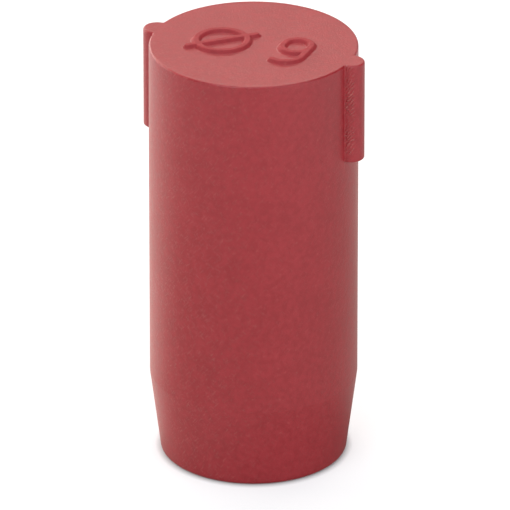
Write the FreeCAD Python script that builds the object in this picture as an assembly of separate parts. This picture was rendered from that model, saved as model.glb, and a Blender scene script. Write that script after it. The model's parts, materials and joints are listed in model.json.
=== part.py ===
import FreeCAD, Part
import math
import os

# Blanking plug for a cable-entry seal.
#
# A round plug that fills an unused 9 mm cable hole in a rubber seal. It is one
# moulding: a straight barrel that the seal grips, a tapered nose that leads it
# into the hole, two small half-round ribs beside the head that stop it at the seal's face,
# and a raised size mark (the diameter sign and the numeral 9) on the head.
#
# Millimetres. The origin is the centre of the nose face and +Z runs to the head.
# +X passes through one rib and -X through the other. The size mark reads along +X.

# ---- driving dimensions: the plug's body ----
barrel_diameter = 9.0
overall_length = 19.1
nose_length = 3.7
nose_inset = 0.475
nose_edge_radius = 0.2
head_edge_radius = 0.1
head_draft_degrees = 0.2
head_draft_below_ribs = 0.05

# ---- driving dimensions: the two stop ribs ----
rib_length = 4.55
rib_diameter = 1.2
rib_reach = 0.58

# ---- driving dimensions: the raised size mark ----
mark_height = 0.15
mark_sink = 0.2
mark_stroke = 0.3
mark_top_radius = 0.05
sign_ring_radius = 1.1
sign_bar_length = 3.45
sign_bar_degrees = 43.5
sign_centre_x = -1.33
sign_centre_y = -0.33
numeral_radius = 0.6
numeral_height = 2.7
numeral_loop_straight = 0.3
numeral_tail_degrees = 137.0
numeral_centre_x = 1.87
numeral_centre_y = -0.2

# ---- driving dimensions: the gate dimple under the nose ----
gate_diameter = 1.8
gate_depth = 0.2

# ---- sizes that follow from the driving ones ----
# The head's draft starts a little below the ribs, so the wall that the seal
# grips is a true cylinder from the nose up to there.
barrel_radius = barrel_diameter / 2
nose_radius = barrel_radius - nose_inset
rib_start = overall_length - rib_length
draft_start = rib_start - head_draft_below_ribs
draft_length = overall_length - draft_start
head_radius = barrel_radius - draft_length * math.tan(math.radians(head_draft_degrees))
rib_outer = barrel_radius + rib_reach
half_stroke = mark_stroke / 2
mark_base = overall_length - mark_sink
mark_top = overall_length + mark_height
UP = FreeCAD.Vector(0, 0, 1)
NEAR = 1e-4


def point(x, y, z):
    return FreeCAD.Vector(x, y, z)


def round_top_edge(solid, radius):
    """The solid with the edge round its flat top face softened."""
    top = [e for e in solid.Edges if e.BoundBox.ZMin > overall_length - NEAR]
    return solid.makeFillet(head_edge_radius, [e for e in top if e.BoundBox.XLength > radius])


def body():
    """The nose, the barrel and the slightly drafted head, turned from one outline."""
    corners = [
        point(0, 0, 0),
        point(nose_radius, 0, 0),
        point(barrel_radius, 0, nose_length),
        point(barrel_radius, 0, draft_start),
        point(head_radius, 0, overall_length),
        point(0, 0, overall_length),
    ]
    outline = Part.makePolygon(corners + corners[:1])
    solid = Part.Face(outline).revolve(point(0, 0, 0), UP, 360)
    rim = [e for e in solid.Edges if e.BoundBox.ZMax < NEAR and e.BoundBox.XLength > nose_radius]
    solid = solid.makeFillet(nose_edge_radius, rim)
    return round_top_edge(solid, head_radius)


def rib(side):
    """A half-round rib down the side of the head: a round bar sunk half into the wall."""
    rib_radius = rib_diameter / 2
    base = point(side * (rib_outer - rib_radius), 0, rib_start)
    return round_top_edge(Part.makeCylinder(rib_radius, rib_length, base, UP), rib_radius)


def disc(x, y):
    """A round pad as wide as a stroke, which ends or joins strokes of the mark."""
    return Part.makeCylinder(half_stroke, mark_top - mark_base, point(x, y, mark_base), UP)


def straight_stroke(x0, y0, x1, y1):
    """A raised straight stroke with rounded ends."""
    length = math.hypot(x1 - x0, y1 - y0)
    bar = Part.makeBox(length, mark_stroke, mark_top - mark_base, point(0, -half_stroke, 0))
    bar.rotate(point(0, 0, 0), UP, math.degrees(math.atan2(y1 - y0, x1 - x0)))
    bar.translate(point(x0, y0, mark_base))
    return bar.fuse([disc(x0, y0), disc(x1, y1)])


def arc_stroke(x, y, radius, start_degrees, sweep_degrees):
    """A raised stroke along an arc, turning anticlockwise from its start."""
    height = mark_top - mark_base
    base = point(x, y, mark_base)
    wedge = Part.makeCylinder(radius + half_stroke, height, base, UP, sweep_degrees)
    core = Part.makeCylinder(radius - half_stroke, height, base, UP)
    band = wedge.cut(core)
    band.rotate(base, UP, start_degrees)
    if sweep_degrees >= 360:
        return band
    ends = [math.radians(a) for a in (start_degrees, start_degrees + sweep_degrees)]
    return band.fuse([disc(x + radius * math.cos(a), y + radius * math.sin(a)) for a in ends])


def diameter_sign():
    """The ring and the slanted bar that stand for a diameter."""
    ring = arc_stroke(sign_centre_x, sign_centre_y, sign_ring_radius, 0, 360)
    angle = math.radians(sign_bar_degrees)
    dx = (sign_bar_length / 2 - half_stroke) * math.cos(angle)
    dy = (sign_bar_length / 2 - half_stroke) * math.sin(angle)
    bar = straight_stroke(
        sign_centre_x - dx, sign_centre_y - dy, sign_centre_x + dx, sign_centre_y + dy
    )
    return ring.fuse(bar)


def numeral():
    """The 9: a tall closed loop, a straight side, and a tail that hooks round below it."""
    x = numeral_centre_x
    radius = numeral_radius
    reach = numeral_height / 2 - half_stroke - radius
    loop_top = numeral_centre_y + reach
    loop_bottom = loop_top - numeral_loop_straight
    tail = numeral_centre_y - reach
    strokes = [
        arc_stroke(x, loop_top, radius, 0, 180),
        straight_stroke(x - radius, loop_bottom, x - radius, loop_top),
        arc_stroke(x, loop_bottom, radius, 180, 180),
        straight_stroke(x + radius, tail, x + radius, loop_top),
        arc_stroke(x, tail, radius, -numeral_tail_degrees, numeral_tail_degrees),
    ]
    return strokes[0].fuse(strokes[1:])


def soften_top(pad):
    """The mark with its upper edges rounded, as a moulded mark comes out."""
    pad = pad.removeSplitter()
    upper = [e for e in pad.Edges if e.BoundBox.ZMin > mark_top - NEAR]
    return pad.makeFillet(mark_top_radius, upper)


def gate_dimple():
    """A shallow round hollow, where the moulding's gate was trimmed off below the face."""
    ball_radius = (gate_diameter ** 2 / 4 + gate_depth ** 2) / (2 * gate_depth)
    return Part.makeSphere(ball_radius, point(0, 0, gate_depth - ball_radius))


def plug():
    """The whole moulding as one solid."""
    solid = body().fuse([rib(1), rib(-1)]).removeSplitter()
    solid = solid.fuse([soften_top(diameter_sign()), soften_top(numeral())])
    return solid.cut(gate_dimple())


os.makedirs("parts", exist_ok=True)
model = plug()
model.exportStep("parts/blanking_plug.step")
box = model.optimalBoundingBox()
print("solids", len(model.Solids), "valid", model.isValid(), "volume mm3", round(model.Volume, 3))
print("box mm", round(box.XLength, 3), round(box.YLength, 3), round(box.ZLength, 3))
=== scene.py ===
# %% [markdown]
# # A blanking plug, step by step
#
# This lesson builds the looks of a small moulded plug that closes an unused 9 mm cable hole
# in a rubber seal. The design model already holds its sizes, so the first cell loads that
# model as a fixed frame, and everything after it is measured from there.

# %% Load the fixed frame
import json
import math

import bmesh
import bpy
import numpy as np
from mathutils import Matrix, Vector


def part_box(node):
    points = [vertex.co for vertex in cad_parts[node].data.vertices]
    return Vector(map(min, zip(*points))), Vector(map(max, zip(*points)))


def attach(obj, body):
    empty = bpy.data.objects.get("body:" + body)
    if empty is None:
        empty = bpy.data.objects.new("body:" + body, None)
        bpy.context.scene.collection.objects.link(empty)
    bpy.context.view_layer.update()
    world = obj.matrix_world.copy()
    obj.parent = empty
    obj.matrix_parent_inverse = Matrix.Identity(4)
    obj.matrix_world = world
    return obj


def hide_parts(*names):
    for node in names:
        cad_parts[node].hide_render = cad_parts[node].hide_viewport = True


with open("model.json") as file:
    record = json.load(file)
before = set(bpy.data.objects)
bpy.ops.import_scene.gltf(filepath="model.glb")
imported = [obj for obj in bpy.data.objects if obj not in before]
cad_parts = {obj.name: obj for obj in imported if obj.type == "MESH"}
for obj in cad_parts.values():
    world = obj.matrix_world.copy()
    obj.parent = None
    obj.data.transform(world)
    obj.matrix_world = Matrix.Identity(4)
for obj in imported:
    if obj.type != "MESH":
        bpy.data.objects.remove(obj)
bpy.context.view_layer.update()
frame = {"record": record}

# %% [markdown]
# ## Sizes
#
# Blender works in metres and the plug is easier to think about in millimetres, so every
# size here is in millimetres and one value, MM, turns it to metres at the very end. The
# sizes that the frame knows are read from it: the barrel's radius and the ribs' undersides
# are mounts in its record, and the plug's box gives the reach of the ribs and the height.

# %% Read the sizes that the frame knows
MM = 0.001
mounts = {m["name"]: m for m in frame["record"]["mounts"]}
_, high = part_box("blanking_plug")
barrel_radius = mounts["barrel"]["dims"]["r_mm"]
rib_start = mounts["stop_plus_x"]["pos_m"][2] / MM
rib_outer = high.x / MM
full_height = high.z / MM
print("barrel radius", barrel_radius, "ribs start", rib_start, "ribs reach", round(rib_outer, 3))

# %% Name the sizes of the details
mark_height = 0.15
head_height = full_height - mark_height
nose_length = 3.7
nose_radius = barrel_radius - 0.475
nose_edge = 0.2
shoulder_blend = 0.6
rib_radius = 0.6
rib_foot = 0.05
rib_under_edge = 0.08
head_edge = 0.1
head_draft = math.tan(math.radians(0.2))
gate_radius = 0.9
gate_depth = 0.2
print("head face at", round(head_height, 3), "mm")

# %% [markdown]
# ## The size mark
#
# The head carries a raised diameter sign and a 9. In the mould this is a shallow engraved
# groove, cut with a small round-nosed cutter, so each stroke comes out as a rounded ridge
# of one width with soft sides and round ends. It could be text turned to a mesh and joined
# with a boolean, but that gives sharp walls and a ragged mesh. Here the head face is a fine
# grid of points instead, and each point rises by how near it is to a stroke's middle line.

# %% Strokes of the mark, as distances from their middle lines
stroke_half = 0.15
flank = 0.16
ring_centre = (-1.33, -0.33)
ring_radius = 1.1
bar_length = 3.45
bar_angle = math.radians(43.5)
nine_centre = (1.87, -0.2)
nine_radius = 0.6
nine_height = 2.7
nine_loop_straight = 0.16
nine_tail_radius = 0.74
nine_tail = math.radians(118)


def to_segment(x, y, start, end):
    """Distance from each point to a straight line between two places."""
    dx, dy = end[0] - start[0], end[1] - start[1]
    along = ((x - start[0]) * dx + (y - start[1]) * dy) / (dx * dx + dy * dy)
    along = np.clip(along, 0, 1)
    return np.hypot(x - start[0] - along * dx, y - start[1] - along * dy)


def to_arc(x, y, centre, radius, start, sweep):
    """Distance from each point to an arc that turns anticlockwise from its start."""
    px, py = x - centre[0], y - centre[1]
    turn = (np.arctan2(py, px) - start) % (2 * math.pi)
    on_arc = np.abs(np.hypot(px, py) - radius)
    ends = [
        np.hypot(px - radius * math.cos(a), py - radius * math.sin(a))
        for a in (start, start + sweep)
    ]
    return np.where(turn <= sweep, on_arc, np.minimum(*ends))


def to_diameter_sign(x, y):
    """Distance to the ring and its slanted bar."""
    reach = bar_length / 2 - stroke_half
    dx, dy = reach * math.cos(bar_angle), reach * math.sin(bar_angle)
    cx, cy = ring_centre
    ring = to_arc(x, y, ring_centre, ring_radius, 0, 2 * math.pi)
    bar = to_segment(x, y, (cx - dx, cy - dy), (cx + dx, cy + dy))
    return np.minimum(ring, bar)


def to_nine(x, y):
    """Distance to the 9: a tall loop, a straight side and a hooked tail."""
    cx, cy = nine_centre
    half = nine_height / 2 - stroke_half
    top, tail = cy + half - nine_radius, cy - half + nine_tail_radius
    bottom = top - nine_loop_straight
    left, right = cx - nine_radius, cx + nine_radius
    strokes = [
        to_arc(x, y, (cx, top), nine_radius, 0, math.pi),
        to_segment(x, y, (left, bottom), (left, top)),
        to_arc(x, y, (cx, bottom), nine_radius, math.pi, math.pi),
        to_segment(x, y, (right, tail), (right, top)),
        to_arc(x, y, (right - nine_tail_radius, tail), nine_tail_radius, -nine_tail, nine_tail),
    ]
    return np.minimum.reduce(strokes)


def mark_rise(x, y):
    """How far the head face rises at each point, in millimetres."""
    distance = np.minimum(to_diameter_sign(x, y), to_nine(x, y))
    t = np.clip((stroke_half + 0.6 * flank - distance) / flank, 0, 1)
    return mark_height * t * t * (3 - 2 * t)


on_ring = (np.array([ring_centre[0] + ring_radius]), np.array([ring_centre[1]]))
print("rise on a stroke", mark_rise(*on_ring))

# %% [markdown]
# ## The outline, level by level
#
# A moulding is one skin, so the plug is one closed mesh: a stack of outlines, each with the
# same number of points, joined by four-sided faces. Below the ribs an outline is a circle.
# Beside the ribs it is a circle with a half-round bead on each side, and each bead has a tiny
# hollow rounding where it leaves the wall (a mould maker leaves one, because a sharp inner
# corner cracks). A quarter of the outline is enough, because the rest mirrors it.

# %% Points in each stretch of a quarter outline
grid_cell = 0.0285
grid_half_x = 2.85
grid_half_y = 1.8
cells_x = round(2 * grid_half_x / grid_cell)
cells_y = round(2 * grid_half_y / grid_cell)
quarter_points = (cells_x + cells_y) // 2
bead_points, foot_points = 24, 6
rib_points = bead_points + foot_points
wall_points = quarter_points - rib_points
print("points around:", 4 * quarter_points)


def arc(centre, radius, start, end, count):
    """Points on an arc, leaving its last point to the next stretch."""
    a = np.linspace(start, end, count, endpoint=False)
    return np.stack([centre[0] + radius * np.cos(a), centre[1] + radius * np.sin(a)], 1)


def foot_centre(wall_radius, bead_radius, foot_radius):
    """Centre of the circle that touches both the wall's circle and the bead's circle."""
    bead_x = rib_outer - rib_radius
    to_wall, to_bead = wall_radius + foot_radius, bead_radius + foot_radius
    x = (to_wall ** 2 - to_bead ** 2 + bead_x ** 2) / (2 * bead_x)
    return x, math.sqrt(to_wall ** 2 - x ** 2)


foot_x, foot_y = foot_centre(barrel_radius, rib_radius, rib_foot)
wall_angle = math.atan2(foot_y, foot_x)


def wall(radius, start):
    """The plain wall from a rib's foot to a quarter turn. Only its first point moves."""
    angles = np.linspace(wall_angle, math.pi / 2, wall_points, endpoint=False)
    angles[0] = start
    return radius * np.stack([np.cos(angles), np.sin(angles)], 1)


def quarter_with_rib(wall_radius, bead_radius, foot_radius):
    """From the middle of the bead, down into its foot, and round the wall to a quarter turn."""
    x, y = foot_centre(wall_radius, bead_radius, foot_radius)
    bead_x = rib_outer - rib_radius
    leaves_bead = math.atan2(y, x - bead_x)
    meets_wall = math.atan2(y, x)
    return np.concatenate([
        arc((bead_x, 0), bead_radius, 0, leaves_bead, bead_points),
        arc((x, y), foot_radius, leaves_bead + math.pi, meets_wall + math.pi, foot_points),
        wall(wall_radius, meets_wall),
    ])


def quarter_round(radius):
    """A plain quarter circle with its points where the rib's outline will need them."""
    start = math.atan2(*foot_centre(barrel_radius, rib_radius - rib_under_edge, rib_foot)[::-1])
    return np.concatenate([arc((0, 0), radius, 0, start, rib_points), wall(radius, start)])


def whole_turn(quarter, quarter_end):
    """A closed outline from a quarter and the point that ends it."""
    first = np.concatenate([quarter, [quarter_end]])
    second = first[::-1][1:] * (-1, 1)
    half = np.concatenate([first, second])
    other = half[::-1][1:-1] * (1, -1)
    return np.concatenate([half, other])


def round_outline(radius):
    return whole_turn(quarter_round(radius), (0, radius))


def rib_outline(wall_inset, rib_inset, z):
    """The outline beside the ribs at height z, where the wall has its slight draft."""
    radius = barrel_radius - max(0, z - rib_start) * head_draft - wall_inset
    quarter = quarter_with_rib(radius, rib_radius - rib_inset, rib_foot + wall_inset)
    return whole_turn(quarter, (0, radius))


print("round outline has", len(round_outline(barrel_radius)), "points")
print("rib outline has", len(rib_outline(0, 0, rib_start)), "points")

# %% [markdown]
# ## The levels
#
# From the bottom up: a gate dimple, where the plastic entered the mould and was trimmed off
# below the face; the flat nose face; a small edge radius; the taper that leads the plug into
# its hole; a soft change of slope; and the straight barrel. Then come the ribs' flat
# undersides, their short rounding, and the drafted head with its own small edge radius.

# %% Levels of the round lower part, as pairs of radius and height
taper = math.atan((barrel_radius - nose_radius) / nose_length)
centre_radius = 0.05
stub_radius, stub_height, stub_softness = 0.3, 0.07, 0.02


def gate_levels():
    """The dimple, with the small stub of the trimmed gate in its middle."""
    ball = (gate_radius ** 2 + gate_depth ** 2) / (2 * gate_depth)
    levels = []
    for r in np.linspace(centre_radius, gate_radius, 18):
        hollow = math.sqrt(ball ** 2 - r ** 2) - (ball - gate_depth)
        stub = stub_height / (1 + math.exp((r - stub_radius) / stub_softness))
        levels.append((r, max(0.0, hollow - stub)))
    return levels


def nose_edge_levels():
    """The small radius between the nose face and the taper."""
    middle = nose_radius - nose_edge * (1 - math.sin(taper)) / math.cos(taper)
    angles = np.linspace(-math.pi / 2, -taper, 9)
    return [(middle + nose_edge * math.cos(a), nose_edge * (1 + math.sin(a))) for a in angles]


def shoulder_levels():
    """The soft change of slope between the taper and the barrel."""
    middle = barrel_radius - shoulder_blend
    on_taper = middle + shoulder_blend * math.cos(taper)
    height = (on_taper - nose_radius) / math.tan(taper) + shoulder_blend * math.sin(taper)
    angles = np.linspace(-taper, 0, 7)
    return [
        (middle + shoulder_blend * math.cos(a), height + shoulder_blend * math.sin(a))
        for a in angles
    ]


def between(a, b, count):
    """Levels spaced evenly between two others, without either of them."""
    t = np.linspace(0, 1, count + 2)[1:-1]
    return [(a[0] + (b[0] - a[0]) * k, a[1] + (b[1] - a[1]) * k) for k in t]


gate = gate_levels()
edge = nose_edge_levels()
shoulder = shoulder_levels()
top_of_round = (barrel_radius, rib_start)
lower_levels = gate + between(gate[-1], edge[0], 7) + edge + between(edge[-1], shoulder[0], 9)
lower_levels += shoulder + between(shoulder[-1], top_of_round, 24) + [top_of_round]
print(len(lower_levels), "levels up to the ribs")

# %% Levels beside the ribs
def upper_outlines():
    """Outlines with their heights, from the ribs' undersides to the head face."""
    outlines = []
    for a in np.linspace(0, math.pi / 2, 6):
        inset = rib_under_edge * (1 - math.sin(a))
        z = rib_start + rib_under_edge * (1 - math.cos(a))
        outlines.append((rib_outline(0, inset, z), z))
    side_top = head_height - head_edge
    for z in np.linspace(outlines[-1][1], side_top, 14)[1:-1]:
        outlines.append((rib_outline(0, 0, z), z))
    for a in np.linspace(0, math.pi / 2, 7):
        inset = head_edge * (1 - math.cos(a))
        z = side_top + head_edge * math.sin(a)
        outlines.append((rib_outline(inset, inset, z), z))
    return outlines


upper = upper_outlines()
print(len(upper), "levels beside the ribs")

# %% [markdown]
# ## The head face
#
# The mark needs a finer mesh than anything else, so the middle of the head is a square-celled
# grid that covers just the mark. Between that grid and the rim, the face is closed by loops
# that change shape step by step from the rectangle's border to the rim's outline. Both have
# the same number of points, so no triangles are needed.

# %% Grid for the mark, and loops from its border to the rim
blend_steps = 10


def mark_grid():
    """Grid points with the mark raised, and the indices of the border, anticlockwise."""
    xs = np.linspace(-grid_half_x, grid_half_x, cells_x + 1)
    ys = np.linspace(-grid_half_y, grid_half_y, cells_y + 1)
    gx, gy = np.meshgrid(xs, ys)
    points = np.stack([gx, gy, head_height + mark_rise(gx, gy)], 2).reshape(-1, 3)
    index = np.arange(len(points)).reshape(cells_y + 1, cells_x + 1)
    middle = cells_y // 2
    border = np.concatenate([
        index[middle:-1, -1], index[-1, :0:-1], index[:0:-1, 0], index[0, :-1], index[:middle, -1],
    ])
    return points, index, border


def blend_loops(rim, border, count):
    """Flat loops between the rim and the grid's border."""
    steps = np.linspace(0, 1, count + 2)[1:-1]
    return [rim * (1 - t) + border * t for t in steps]


grid_points, grid_index, grid_border = mark_grid()
print("mark grid", grid_index.shape, "border", len(grid_border))


# %% [markdown]
# ## One closed skin
#
# Now the pieces are joined: a fan closes the dimple's centre, strips of four-sided faces join
# each outline to the next, and the grid closes the head. A check that every edge has exactly
# two faces tells at once if the skin has a hole.

# %% Build the plug's mesh
weld_distance = 1e-5
crease_angle = math.radians(40)


def weld(mesh):
    """Joins the points that share a place: the wall's, where the ribs' undersides begin."""
    work = bmesh.new()
    work.from_mesh(mesh)
    bmesh.ops.remove_doubles(work, verts=work.verts, dist=weld_distance * MM)
    work.to_mesh(mesh)
    work.free()


def build_plug():
    """The whole moulding as one closed mesh."""
    around = 4 * quarter_points
    loops = []
    for radius, z in lower_levels:
        loops.append(np.column_stack([round_outline(radius), np.full(around, z)]))
    for outline, z in upper:
        loops.append(np.column_stack([outline, np.full(around, z)]))
    border = grid_points[grid_border]
    for flat in blend_loops(loops[-1], border, blend_steps):
        loops.append(flat)
    vertices = [np.array([[0, 0, lower_levels[0][1]]])] + loops + [grid_points]
    faces = [(0, 1 + (k + 1) % around, 1 + k) for k in range(around)]
    nxt = (np.arange(around) + 1) % around
    for level in range(len(loops) - 1):
        a = 1 + level * around
        b = a + around
        faces += [(a + k, a + nxt[k], b + nxt[k], b + k) for k in range(around)]
    last = 1 + (len(loops) - 1) * around
    base = last + around
    faces += [
        (last + k, last + nxt[k], base + grid_border[nxt[k]], base + grid_border[k])
        for k in range(around)
    ]
    for row in range(cells_y):
        a, b = grid_index[row], grid_index[row + 1]
        faces += [
            (base + a[k], base + a[k + 1], base + b[k + 1], base + b[k]) for k in range(cells_x)
        ]
    mesh = bpy.data.meshes.new("plug_moulding")
    places = (np.concatenate(vertices) * MM).tolist()
    mesh.from_pydata(places, [], [tuple(map(int, f)) for f in faces])
    weld(mesh)
    mesh.shade_smooth()
    mesh.set_sharp_from_angle(angle=crease_angle)
    return mesh


plug_mesh = build_plug()
plug = bpy.data.objects.new("plug_moulding", plug_mesh)
bpy.context.scene.collection.objects.link(plug)
edge_faces = {}
for polygon in plug_mesh.polygons:
    for key in polygon.edge_keys:
        edge_faces[key] = edge_faces.get(key, 0) + 1
print(len(plug_mesh.polygons), "faces; open edges:", sum(n != 2 for n in edge_faces.values()))

# %% [markdown]
# ## The plastic
#
# Plugs like this are injection moulded from a filled polyamide or a similar hard plastic,
# coloured through with an oxide red. The mould is spark eroded, which leaves a fine even
# grain, so light spreads over the surface and only grazing light gives a clear sheen. Parts
# tumble together in a bag, which adds faint scuffs and a few pale specks.
#
# The finish could be one colour with one bump, but real plastic never looks that clean. It is
# made here from small patterns, each at its own real size, and one function adds each node.

# %% One colour function and one node function
def linear(hex_colour):
    """An sRGB hex colour as the linear colour that Blender's shaders work with."""
    out = []
    for k in (0, 2, 4):
        c = int(hex_colour[k:k + 2], 16) / 255
        out.append(c / 12.92 if c <= 0.04045 else ((c + 0.055) / 1.055) ** 2.4)
    return (*out, 1.0)


def add(tree, kind, inputs, output=0, **settings):
    """Adds a node, sets its options, fills or links its inputs, and gives back one output."""
    node = tree.nodes.new("ShaderNode" + kind)
    for name, value in settings.items():
        setattr(node, name, value)
    for name, value in inputs.items():
        if isinstance(value, bpy.types.NodeSocket):
            tree.links.new(value, node.inputs[name])
        else:
            node.inputs[name].default_value = value
    return node.outputs[output] if node.outputs else node


def per_metre(size_mm):
    """A texture scale that gives one cell of this size in millimetres."""
    return 1 / (size_mm * MM)


print("oxide red, linear:", [round(c, 3) for c in linear("9C3A40")])
print("a 0.1 mm grain needs a scale of", per_metre(0.1))

# %% [markdown]
# ## Where a scratch lies
#
# Scratches run along the skin, so they need a flat map of it. Unrolled, the barrel is a sheet
# that is as wide as the way round it and as tall as the plug; on the head and under the nose
# the sheet is simply the face itself. The surface's own direction says which one to use.

# %% A flat map of the skin, in metres
flat_above = 0.7
soft = "SMOOTHSTEP"


def skin_map(tree):
    """The place on the plug, its three axes, and the unrolled sheet."""
    place = add(tree, "TexCoord", {}, "Object")
    x, y, z = add(tree, "SeparateXYZ", {0: place}).node.outputs
    normal = add(tree, "NewGeometry", {}, "True Normal")
    up = add(tree, "SeparateXYZ", {0: normal}, 2)
    steep = add(tree, "Math", {0: up}, operation="ABSOLUTE")
    flat = add(tree, "Math", {0: steep, 1: flat_above}, operation="GREATER_THAN")
    angle = add(tree, "Math", {0: y, 1: x}, operation="ARCTAN2")
    around = add(tree, "Math", {0: angle, 1: barrel_radius * MM}, operation="MULTIPLY")
    side = add(tree, "CombineXYZ", {0: around, 1: z})
    sheet = add(tree, "Mix", {0: flat, 4: side, 5: place}, 1, data_type="VECTOR")
    return place, (x, y, z), sheet


def hairlines(tree, sheet, degrees, width_mm, length_mm, amount):
    """Thin straight marks at one angle. Amount, from 0 to 1, is how many there are.

    Noise stretched along the marks gives them, and only its peaks are kept.
    """
    turned = add(tree, "Mapping", {"Vector": sheet, "Rotation": (0, 0, math.radians(degrees))})
    size = (per_metre(length_mm), per_metre(width_mm), 1)
    stretched = add(tree, "VectorMath", {0: turned, 1: size}, operation="MULTIPLY")
    streak = add(tree, "TexNoise", {"Vector": stretched, "Scale": 1.0, "Detail": 1.0})
    start = 0.8 - 0.2 * amount
    return add(tree, "MapRange", {0: streak, 1: start, 2: start + 0.06}, interpolation_type=soft)


print("unrolled, the barrel is", round(2 * math.pi * barrel_radius, 1), "mm wide")

# %% [markdown]
# ## Colour that drifts
#
# Pigment is never stirred in quite evenly. Under a soft light that shows as broad clouds of a
# few millimetres and as a fine mottle, each only a shade lighter or darker than the rest. Two
# close reds and two noise patterns give it. A third colour would look like dirt.

# %% The pigment's clouds and mottle
cloud_size = 2.2
mottle_size = 0.24
mottle_share = 0.7
darker_red, lighter_red = "931A23", "9E212A"


def pigment(tree, place):
    """The body colour, and the mottle that the roughness follows too."""
    clouds = add(tree, "TexNoise", {"Vector": place, "Scale": per_metre(cloud_size), "Detail": 3.0})
    mottle = add(tree, "TexNoise", {"Vector": place, "Scale": per_metre(mottle_size), "Detail": 3.0})
    drift = add(tree, "Mix", {0: mottle_share, 2: clouds, 3: mottle})
    share = add(tree, "MapRange", {0: drift, 1: 0.34, 2: 0.66}, interpolation_type=soft)
    reds = {0: share, 6: linear(darker_red), 7: linear(lighter_red)}
    return add(tree, "Mix", reds, 2, data_type="RGBA"), mottle


print("clouds of", cloud_size, "mm and a mottle of", mottle_size, "mm")

# %% [markdown]
# ## Signs of handling
#
# Hard plastic bruises pale. Three sets of hairline scuffs cross each other at angles that a
# tumbling part would get, and they gather on the side that was rubbed most. Real scuffs are a
# hundredth of a millimetre wide. These are drawn at four hundredths, so that they can show.
# Specks are dots of dust or unmixed filler, in a few cells of a scattered pattern.

# %% Scuffs and specks
rubbed_toward = math.radians(-112)
scuff_width = 0.04
speck_spacing = 0.3
speck_rarity = 0.86


def scuffs_of(tree, place, sheet):
    """Crossing hairlines, most of them on the rubbed side."""
    first = hairlines(tree, sheet, -50, scuff_width, 0.4, 0.8)
    second = hairlines(tree, sheet, 42, scuff_width, 0.35, 0.75)
    third = hairlines(tree, sheet, 84, scuff_width, 0.3, 0.55)
    two = add(tree, "Math", {0: first, 1: second}, operation="MAXIMUM")
    three = add(tree, "Math", {0: two, 1: third}, operation="MAXIMUM")
    reach = per_metre(barrel_radius)
    side = (math.cos(rubbed_toward) * reach, math.sin(rubbed_toward) * reach, 0)
    toward = add(tree, "VectorMath", {0: place, 1: side}, "Value", operation="DOT_PRODUCT")
    rubbed = add(
        tree, "MapRange", {0: toward, 1: 0.4, 2: 0.95, 3: 0.3, 4: 1.0},
        interpolation_type=soft,
    )
    return add(tree, "Math", {0: three, 1: rubbed}, operation="MULTIPLY")


def specks_of(tree, place):
    """Small round dots, one in a few of the pattern's cells."""
    cells = add(tree, "TexVoronoi", {"Vector": place, "Scale": per_metre(speck_spacing)}).node
    dot = add(
        tree, "MapRange", {0: cells.outputs["Distance"], 1: 0.12, 2: 0.22, 3: 1.0, 4: 0.0},
        interpolation_type=soft,
    )
    pick = add(tree, "SeparateXYZ", {0: cells.outputs["Color"]})
    chosen = add(tree, "Math", {0: pick, 1: speck_rarity}, operation="GREATER_THAN")
    return add(tree, "Math", {0: dot, 1: chosen}, operation="MULTIPLY")


print("scuffs are drawn", scuff_width, "mm wide; specks stand in cells of", speck_spacing, "mm")

# %% [markdown]
# ## The cutter's marks on one rib
#
# The groove for the rib was cut into the steel with a small tool. Next to the wall it chattered
# and left short slanting ridges in lumpy patches, and the plastic has copied them. Only the rib
# on the +X side has them. They are sine waves along a slanted height, bent and broken up by
# noise so that no two are alike. The ridges are real relief, a bump; their crests are also
# painted paler, a painted highlight where they catch the light.

# %% Slanting ridges next to the wall
ridge_spacing = 0.19
ridge_slope = -1.1
ridge_bend = 0.35
ridge_patch = 0.9
ridge_lump = 0.16


def cutter_marks(tree, place, x, y, z):
    """1 on a ridge and 0 off it, on the flanks of the rib at +X."""
    beside = add(tree, "Math", {0: y}, operation="ABSOLUTE")
    reach = {0: beside, 1: (rib_radius - 0.15) * MM, 2: (rib_radius - 0.08) * MM}
    inner = add(tree, "MapRange", reach, interpolation_type=soft)
    outer = add(tree, "Math", {0: beside, 1: (rib_radius + 0.05) * MM}, operation="LESS_THAN")
    on_rib = {0: x, 1: 4.44 * MM, 2: 4.5 * MM}
    past_wall = add(tree, "MapRange", on_rib, interpolation_type=soft)
    above = {0: z, 1: (rib_start + 0.3) * MM, 2: (rib_start + 0.6) * MM}
    not_lowest = add(tree, "MapRange", above, interpolation_type=soft)
    blotch = add(tree, "TexNoise", {"Vector": place, "Scale": per_metre(ridge_patch), "Detail": 2.0})
    patches = add(tree, "MapRange", {0: blotch, 1: 0.4, 2: 0.56, 3: 0.2}, interpolation_type=soft)
    lump = add(tree, "TexNoise", {"Vector": place, "Scale": per_metre(ridge_lump), "Detail": 2.0})
    lumps = add(tree, "MapRange", {0: lump, 1: 0.36, 2: 0.6}, interpolation_type=soft)
    bend = add(tree, "TexNoise", {"Vector": place, "Scale": per_metre(0.4), "Detail": 2.0})
    leaning = add(tree, "Math", {0: x, 1: ridge_slope, 2: z}, operation="MULTIPLY_ADD")
    slant = add(tree, "Math", {0: bend, 1: ridge_bend * MM, 2: leaning}, operation="MULTIPLY_ADD")
    per_turn = 2 * math.pi * per_metre(ridge_spacing)
    turns = add(tree, "Math", {0: slant, 1: per_turn}, operation="MULTIPLY")
    wave = add(tree, "Math", {0: turns}, operation="SINE")
    marks = add(tree, "MapRange", {0: wave, 1: -0.5, 2: 0.9}, interpolation_type=soft)
    for part in (inner, outer, past_wall, not_lowest, patches, lumps):
        marks = add(tree, "Math", {0: marks, 1: part}, operation="MULTIPLY")
    return marks


print("ridges are", ridge_spacing, "mm apart")

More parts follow.
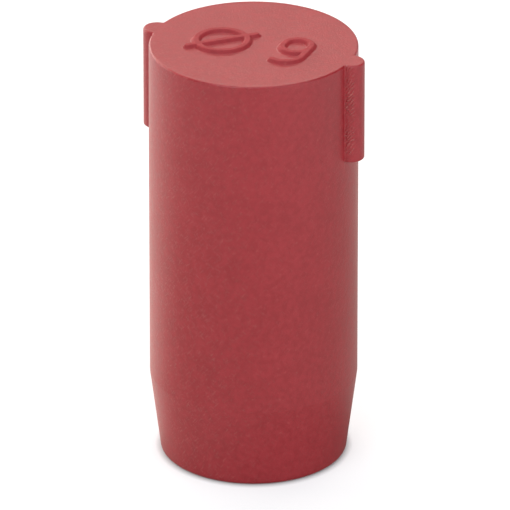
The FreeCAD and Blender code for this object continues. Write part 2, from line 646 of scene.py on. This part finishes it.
# %% [markdown]
# ## Relief
#
# Spark erosion leaves pits of a few hundredths of a millimetre. They are drawn at a tenth, or
# they would be too fine to show. Over them lie soft lumps, where the steel was polished
# unevenly, and slow waves, where the thick plug shrank as it cooled. Each is a bump of its own
# real height, one laid on the other, because moving real points that finely needs millions.
# The nose is a little smoother, since a mould maker polishes the end that has to slide in.

# %% Pits, lumps, waves and marks, laid on each other
pit_size, pit_depth = 0.1, 0.009
lump_size, lump_depth = 0.28, 0.0075
wave_size, wave_depth = 1.1, 0.008
mark_depth = 0.03


def relief(tree, place, z, marks, scuffs):
    """The direction of the surface once all the small relief is on it."""
    pits = add(tree, "TexNoise", {"Vector": place, "Scale": per_metre(pit_size), "Detail": 2.0})
    lumps = add(tree, "TexNoise", {"Vector": place, "Scale": per_metre(lump_size), "Detail": 2.0})
    waves = add(tree, "TexNoise", {"Vector": place, "Scale": per_metre(wave_size), "Detail": 1.0})
    raised = add(tree, "Math", {0: scuffs, 1: -0.3, 2: marks}, operation="MULTIPLY_ADD")
    above_nose = {0: z, 1: (nose_length - 0.6) * MM, 2: (nose_length + 0.6) * MM, 3: 0.6, 4: 1.0}
    depth = add(tree, "MapRange", above_nose, interpolation_type=soft)
    pits = add(tree, "Math", {0: pits, 1: depth}, operation="MULTIPLY")
    lumps = add(tree, "Math", {0: lumps, 1: depth}, operation="MULTIPLY")
    normal = add(tree, "Bump", {"Height": pits, "Distance": pit_depth * MM})
    normal = add(tree, "Bump", {"Height": lumps, "Distance": lump_depth * MM, "Normal": normal})
    normal = add(tree, "Bump", {"Height": waves, "Distance": wave_depth * MM, "Normal": normal})
    return add(tree, "Bump", {"Height": raised, "Distance": mark_depth * MM, "Normal": normal})


print("pits", pit_size, "mm, lumps", lump_size, "mm, waves", wave_size, "mm")

# %% [markdown]
# ## The finished plastic
#
# Everything meets in one shader. Polyamide has an IOR near 1.53. The roughness is middling:
# a spark-eroded skin is neither shiny nor chalky, so the colour stays full in the middle of
# the barrel and turns pale only where the eye meets the wall at a low angle. The size mark is
# rougher, because its groove in the mould was cut and never polished, so it doesn't glint.

# %% The plastic's material
# A pale colour for real scuffs and specks, and for the painted highlight on the ridges.
bruise_and_glint_colour = "DC9A8C"
scuff_paleness, speck_paleness, painted_glint_share = 0.13, 0.06, 0.2
smoothest, roughest, engraved_rough = 0.36, 0.42, 0.7
polyamide_ior = 1.53


def moulded_plastic():
    """Spark-eroded, injection-moulded plastic, coloured through."""
    material = bpy.data.materials.new("moulded_oxide_red_plastic")
    material.use_nodes = True
    tree = material.node_tree
    tree.nodes.clear()
    place, (x, y, z), sheet = skin_map(tree)
    body, mottle = pigment(tree, place)
    scuffs = scuffs_of(tree, place, sheet)
    specks = specks_of(tree, place)
    marks = cutter_marks(tree, place, x, y, z)

    scuff_pale = add(tree, "Math", {0: scuffs, 1: scuff_paleness}, operation="MULTIPLY")
    speck_pale = add(tree, "Math", {0: specks, 1: speck_paleness}, operation="MULTIPLY")
    # The cutter's ridges are painted paler on their crests: a painted highlight.
    painted_glint = add(tree, "Math", {0: marks, 1: painted_glint_share}, operation="MULTIPLY")
    two = add(tree, "Math", {0: scuff_pale, 1: speck_pale}, operation="MAXIMUM")
    pale = add(tree, "Math", {0: two, 1: painted_glint}, operation="MAXIMUM")
    colours = {0: pale, 6: body, 7: linear(bruise_and_glint_colour)}
    colour = add(tree, "Mix", colours, 2, data_type="RGBA")
    spread = {0: mottle, 1: 0.3, 2: 0.7, 3: smoothest, 4: roughest}
    skin_rough = add(tree, "MapRange", spread)
    rising = {0: z, 1: (head_height + 0.004) * MM, 2: (head_height + 0.03) * MM}
    engraved = add(tree, "MapRange", rising, interpolation_type=soft)
    rough = add(tree, "Mix", {0: engraved, 2: skin_rough, 3: engraved_rough})
    finish = {
        "Base Color": colour, "Roughness": rough, "IOR": polyamide_ior,
        "Normal": relief(tree, place, z, marks, scuffs),
    }
    add(tree, "OutputMaterial", {"Surface": add(tree, "BsdfPrincipled", finish)})
    print(material.name, "has", len(tree.nodes), "nodes")
    return material


plug_mesh.materials.append(moulded_plastic())
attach(plug, "root")
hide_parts("blanking_plug")

# %% [markdown]
# ## The table
#
# The plug stands on a plain white table in a white tent. The table is a flat sheet with a
# matt white finish. A lit tent makes the table glow evenly, and a little light of its own does
# the same here. Right at the plug's foot the glow is faded into a painted contact shadow, a
# thin dark line that makes the plug look as if it stands on something.

# %% The white table
camera_azimuth = math.radians(22.5)
camera_elevation = math.radians(25.63)


table_side = 4.0
# The lower glow at the foot is a painted contact shadow.
painted_shadow_glow, table_glow = 0.15, 0.6


def white_table():
    """A matt white sheet with its own glow, faded at the foot into a painted contact shadow."""
    mesh = bpy.data.meshes.new("table")
    s = table_side / 2
    mesh.from_pydata([(-s, -s, 0), (s, -s, 0), (s, s, 0), (-s, s, 0)], [], [(0, 1, 2, 3)])
    table = bpy.data.objects.new("table", mesh)
    bpy.context.scene.collection.objects.link(table)
    material = bpy.data.materials.new("matt_white_table")
    material.use_nodes = True
    tree = material.node_tree
    tree.nodes.clear()
    place = add(tree, "TexCoord", {}, "Object")
    far = add(tree, "VectorMath", {0: place}, "Value", operation="LENGTH")
    # The glow falls near the plug's foot: a painted contact shadow.
    painted_contact_shadow = {
        0: far, 1: (nose_radius - 0.1) * MM, 2: (nose_radius + 0.35) * MM,
        3: painted_shadow_glow, 4: table_glow,
    }
    glow = add(tree, "MapRange", painted_contact_shadow, interpolation_type=soft)
    finish = {
        "Base Color": linear("B4B4B4"), "Roughness": 0.9, "Specular IOR Level": 0.0,
        "Emission Color": linear("F9FAFC"), "Emission Strength": glow,
    }
    add(tree, "OutputMaterial", {"Surface": add(tree, "BsdfPrincipled", finish)})
    mesh.materials.append(material)
    return table


table = white_table()
print("table", [round(v, 2) for v in table.dimensions])

# %% [markdown]
# ## The reflection card
#
# A wall that stands on a white table mirrors the table, and all of it would look equally pale.
# So a glowing card is laid round the plug, and its glow is a painted reflection: bright behind
# the plug and darker in front, with a painted shade at its foot. That keeps the red full and
# draws a crisp pale edge on both sides. This card is seen by reflections only, so the table
# itself stays white.

# %% A glowing card that only reflections see: painted reflections and a painted foot shade
card_rings = (3.9, 10.0, 20.0, 45.0)
card_spokes = 64
card_height = 0.01
card_light = "FFF5EA"
# The card's glow is a painted reflection: dim in front, bright behind, dimmest at the foot.
card_front, card_back, painted_foot_shade = 0.66, 1.45, 0.3
foot_shade_centre = (3.2, -1.0)
bright_side = camera_azimuth + math.radians(180 + 28)


def painted_reflection_card():
    """A flat glowing ring round the foot: painted reflections, dim in front and bright behind."""
    places = []
    for ring in card_rings:
        for spoke in range(card_spokes):
            a = 2 * math.pi * spoke / card_spokes
            places.append((ring * MM * math.cos(a), ring * MM * math.sin(a), card_height * MM))
    faces = []
    for ring in range(len(card_rings) - 1):
        a, b = ring * card_spokes, (ring + 1) * card_spokes
        for k in range(card_spokes):
            n = (k + 1) % card_spokes
            faces.append((a + k, a + n, b + n, b + k))
    mesh = bpy.data.meshes.new("painted_reflection_card")
    mesh.from_pydata(places, [], faces)
    card = bpy.data.objects.new("painted_reflection_card", mesh)
    bpy.context.scene.collection.objects.link(card)
    material = bpy.data.materials.new("painted_reflection_glow")
    material.use_nodes = True
    tree = material.node_tree
    tree.nodes.clear()
    place = add(tree, "TexCoord", {}, "Object")
    away = add(tree, "VectorMath", {0: place}, operation="NORMALIZE")
    behind = (math.sin(bright_side), -math.cos(bright_side), 0)
    toward = add(tree, "VectorMath", {0: away, 1: behind}, "Value", operation="DOT_PRODUCT")
    grade = {0: toward, 1: 0.25, 2: 0.95, 3: card_front, 4: card_back}
    graded = add(tree, "MapRange", grade, interpolation_type=soft)
    # A painted shade in the reflections, round a point near the plug's foot.
    centre = (-foot_shade_centre[0] * MM, -foot_shade_centre[1] * MM, 0)
    moved = add(tree, "VectorMath", {0: place, 1: centre}, operation="ADD")
    far = add(tree, "VectorMath", {0: moved}, "Value", operation="LENGTH")
    shade = {0: far, 1: 3 * MM, 2: 9 * MM, 3: painted_foot_shade, 4: 1.0}
    shaded = add(tree, "MapRange", shade, interpolation_type=soft)
    glow = add(tree, "Math", {0: graded, 1: shaded}, operation="MULTIPLY")
    light = add(tree, "Emission", {"Color": linear(card_light), "Strength": glow})
    add(tree, "OutputMaterial", {"Surface": light})
    mesh.materials.append(material)
    card.visible_camera = False
    card.visible_diffuse = False
    card.visible_shadow = False
    card.visible_transmission = False
    return card


card = painted_reflection_card()
print("grey card is", 2 * card_rings[-1], "mm across")

# %% [markdown]
# ## Soft light
#
# Softboxes stand round the plug as in a small product studio: broad ones behind it, which give
# the pale edges, two in front, which show the red and the raised mark, and one overhead. Each
# is placed by its angle from the camera, because that is how a maker walks round a set. Its
# strength is how bright its face looks, so a larger box of the same strength gives more light.

# %% Softboxes and a faint tent
softbox_distance = 0.3
warm, neutral = "FFF3E9", "F6FBFF"
plug_middle = Vector((0, 0, 9.7 * MM))


def softbox(name, azimuth, elevation, wide, high, radiance, tint):
    """A rectangular soft light that looks at the plug, placed by its angle from the camera."""
    light = bpy.data.lights.new(name, "AREA")
    light.shape = "RECTANGLE"
    light.size = wide
    light.size_y = high
    light.energy = radiance * math.pi * wide * high
    light.color = linear(tint)[:3]
    lamp = bpy.data.objects.new(name, light)
    a, e = camera_azimuth + math.radians(azimuth), math.radians(elevation)
    away = Vector((math.sin(a) * math.cos(e), -math.cos(a) * math.cos(e), math.sin(e)))
    lamp.location = plug_middle + away * softbox_distance
    lamp.rotation_euler = away.to_track_quat("Z", "Y").to_euler()
    bpy.context.scene.collection.objects.link(lamp)
    return lamp


softbox("back_left", -130, 12, 0.42, 0.22, 4.1, warm)
softbox("left", -80, 10, 0.1, 0.3, 0.45, warm)
softbox("front_left", -30, 45, 0.2, 0.26, 2.6, neutral)
softbox("front_right", 45, 25, 0.26, 0.3, 1.62, neutral)
softbox("back_right", 150, 8, 0.2, 0.3, 0.4, warm)
softbox("back_high", 175, 48, 0.3, 0.26, 2.4, warm)
softbox("over_head", 0, 82, 0.3, 0.3, 1.36, neutral)
world = bpy.data.worlds.new("white_tent")
world.use_nodes = True
world.node_tree.nodes["Background"].inputs["Color"].default_value = (1, 1, 1, 1)
world.node_tree.nodes["Background"].inputs["Strength"].default_value = 0.03
bpy.context.scene.world = world
bpy.context.scene.view_settings.view_transform = "Standard"

# %% [markdown]
# ## The camera
#
# A small part is best seen from well back with a long lens, so that its sides stay nearly
# parallel. The camera stands a little to the +X side of the front and looks down on the head.
# It is pushed sideways and down by a fraction of a millimetre, to frame the plug without
# turning the view.

# %% Camera
camera_distance = 0.4325
push_right, push_up = 0.059 * MM, -0.551 * MM
toward_camera = Vector((
    math.sin(camera_azimuth) * math.cos(camera_elevation),
    -math.cos(camera_azimuth) * math.cos(camera_elevation),
    math.sin(camera_elevation),
))
camera_data = bpy.data.cameras.new("camera")
camera_data.sensor_width = 36
camera_data.lens = 708.04
camera_data.clip_start = 0.01
camera = bpy.data.objects.new("camera", camera_data)
turn = toward_camera.to_track_quat("Z", "Y").to_matrix()
right, up = turn.col[0], turn.col[1]
camera.location = plug_middle + toward_camera * camera_distance + right * push_right + up * push_up
camera.rotation_euler = turn.to_euler()
bpy.context.scene.collection.objects.link(camera)
bpy.context.scene.camera = camera
print("lens", camera_data.lens, "mm at", camera_distance, "m")
